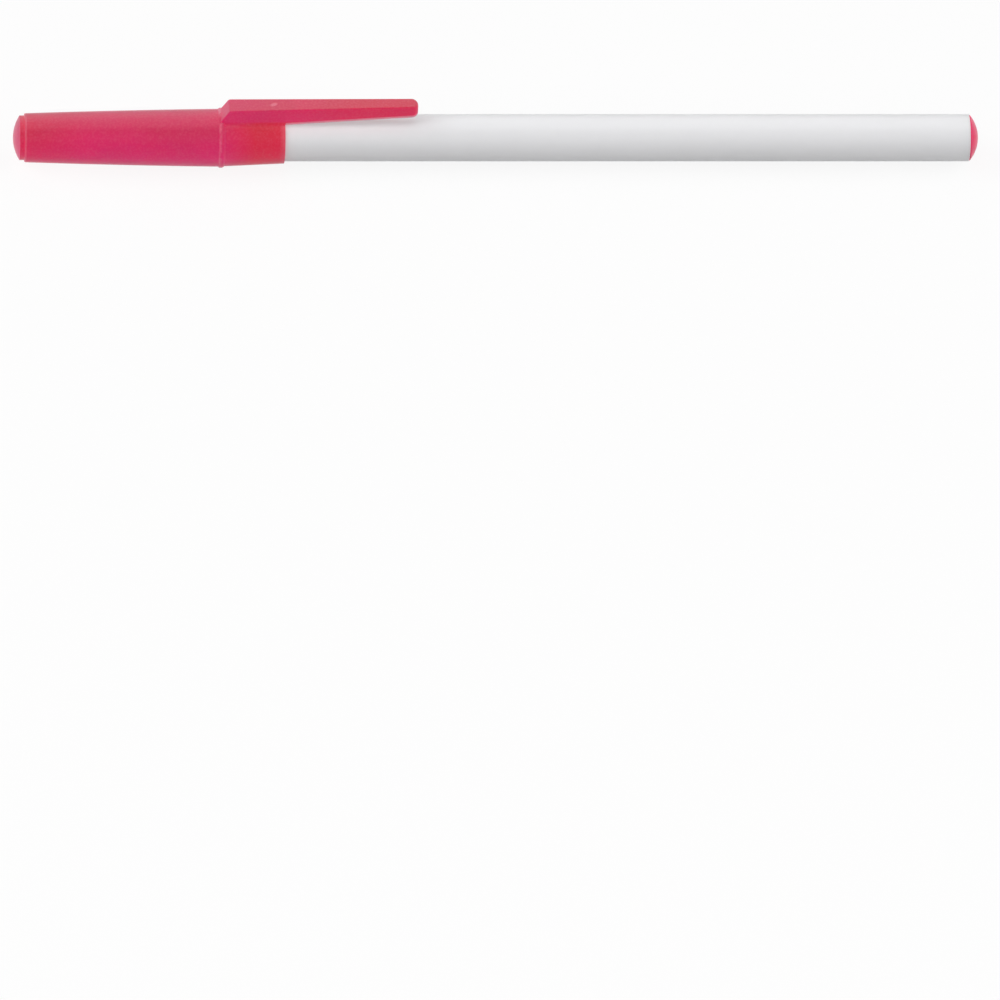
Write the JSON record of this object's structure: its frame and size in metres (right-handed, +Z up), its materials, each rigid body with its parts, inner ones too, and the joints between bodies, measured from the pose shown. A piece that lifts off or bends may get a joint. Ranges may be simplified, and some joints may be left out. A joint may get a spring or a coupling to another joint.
{
  "type": "stick ballpoint pen",
  "caption": "Round stick ballpoint pen with a domed end plug, a fixed brass writing point and a pull-off cap with a ring, a flared skirt and a pocket clip.",
  "frame": {"origin": "middle of the capped pen's length, below its axis, on the surface that the cap's ring lies on", "axes": "+X along the pen from the cap's domed end to the end plug, +Z up through the clip, +Y across the pen"},
  "size_m": [0.149, 0.0092, 0.0117],
  "materials": {
    "barrel_plastic": "white moulded plastic, semi-gloss",
    "cap_plastic": "red moulded polypropylene, semi-gloss",
    "holder_plastic": "red moulded polypropylene, semi-gloss",
    "tip_brass": "turned brass",
    "ball_carbide": "polished tungsten carbide",
    "tube_plastic": "milky extruded polypropylene",
    "ink_paste": "wet red ink paste"
  },
  "bodies": {
    "pen": {"barrel": "barrel_plastic", "end_plug": "cap_plastic", "point_holder": "holder_plastic", "writing_tip": "tip_brass", "ink_tube": "tube_plastic", "ink": "ink_paste"},
    "cap": {"cap": "cap_plastic", "cap_end_plug": "cap_plastic"},
    "ball": {"ball": "ball_carbide"}
  },
  "joints": [
    {"name": "cap_slide", "type": "slide", "parent": "pen", "child": "cap", "axis": [-1, 0, 0], "range_m": [0, 0.042]},
    {"name": "ball_roll", "type": "hinge", "parent": "pen", "child": "ball", "pos_m": [-0.06602, 0, 0.00463], "axis": [0, 1, 0], "continuous": true}
  ]
}
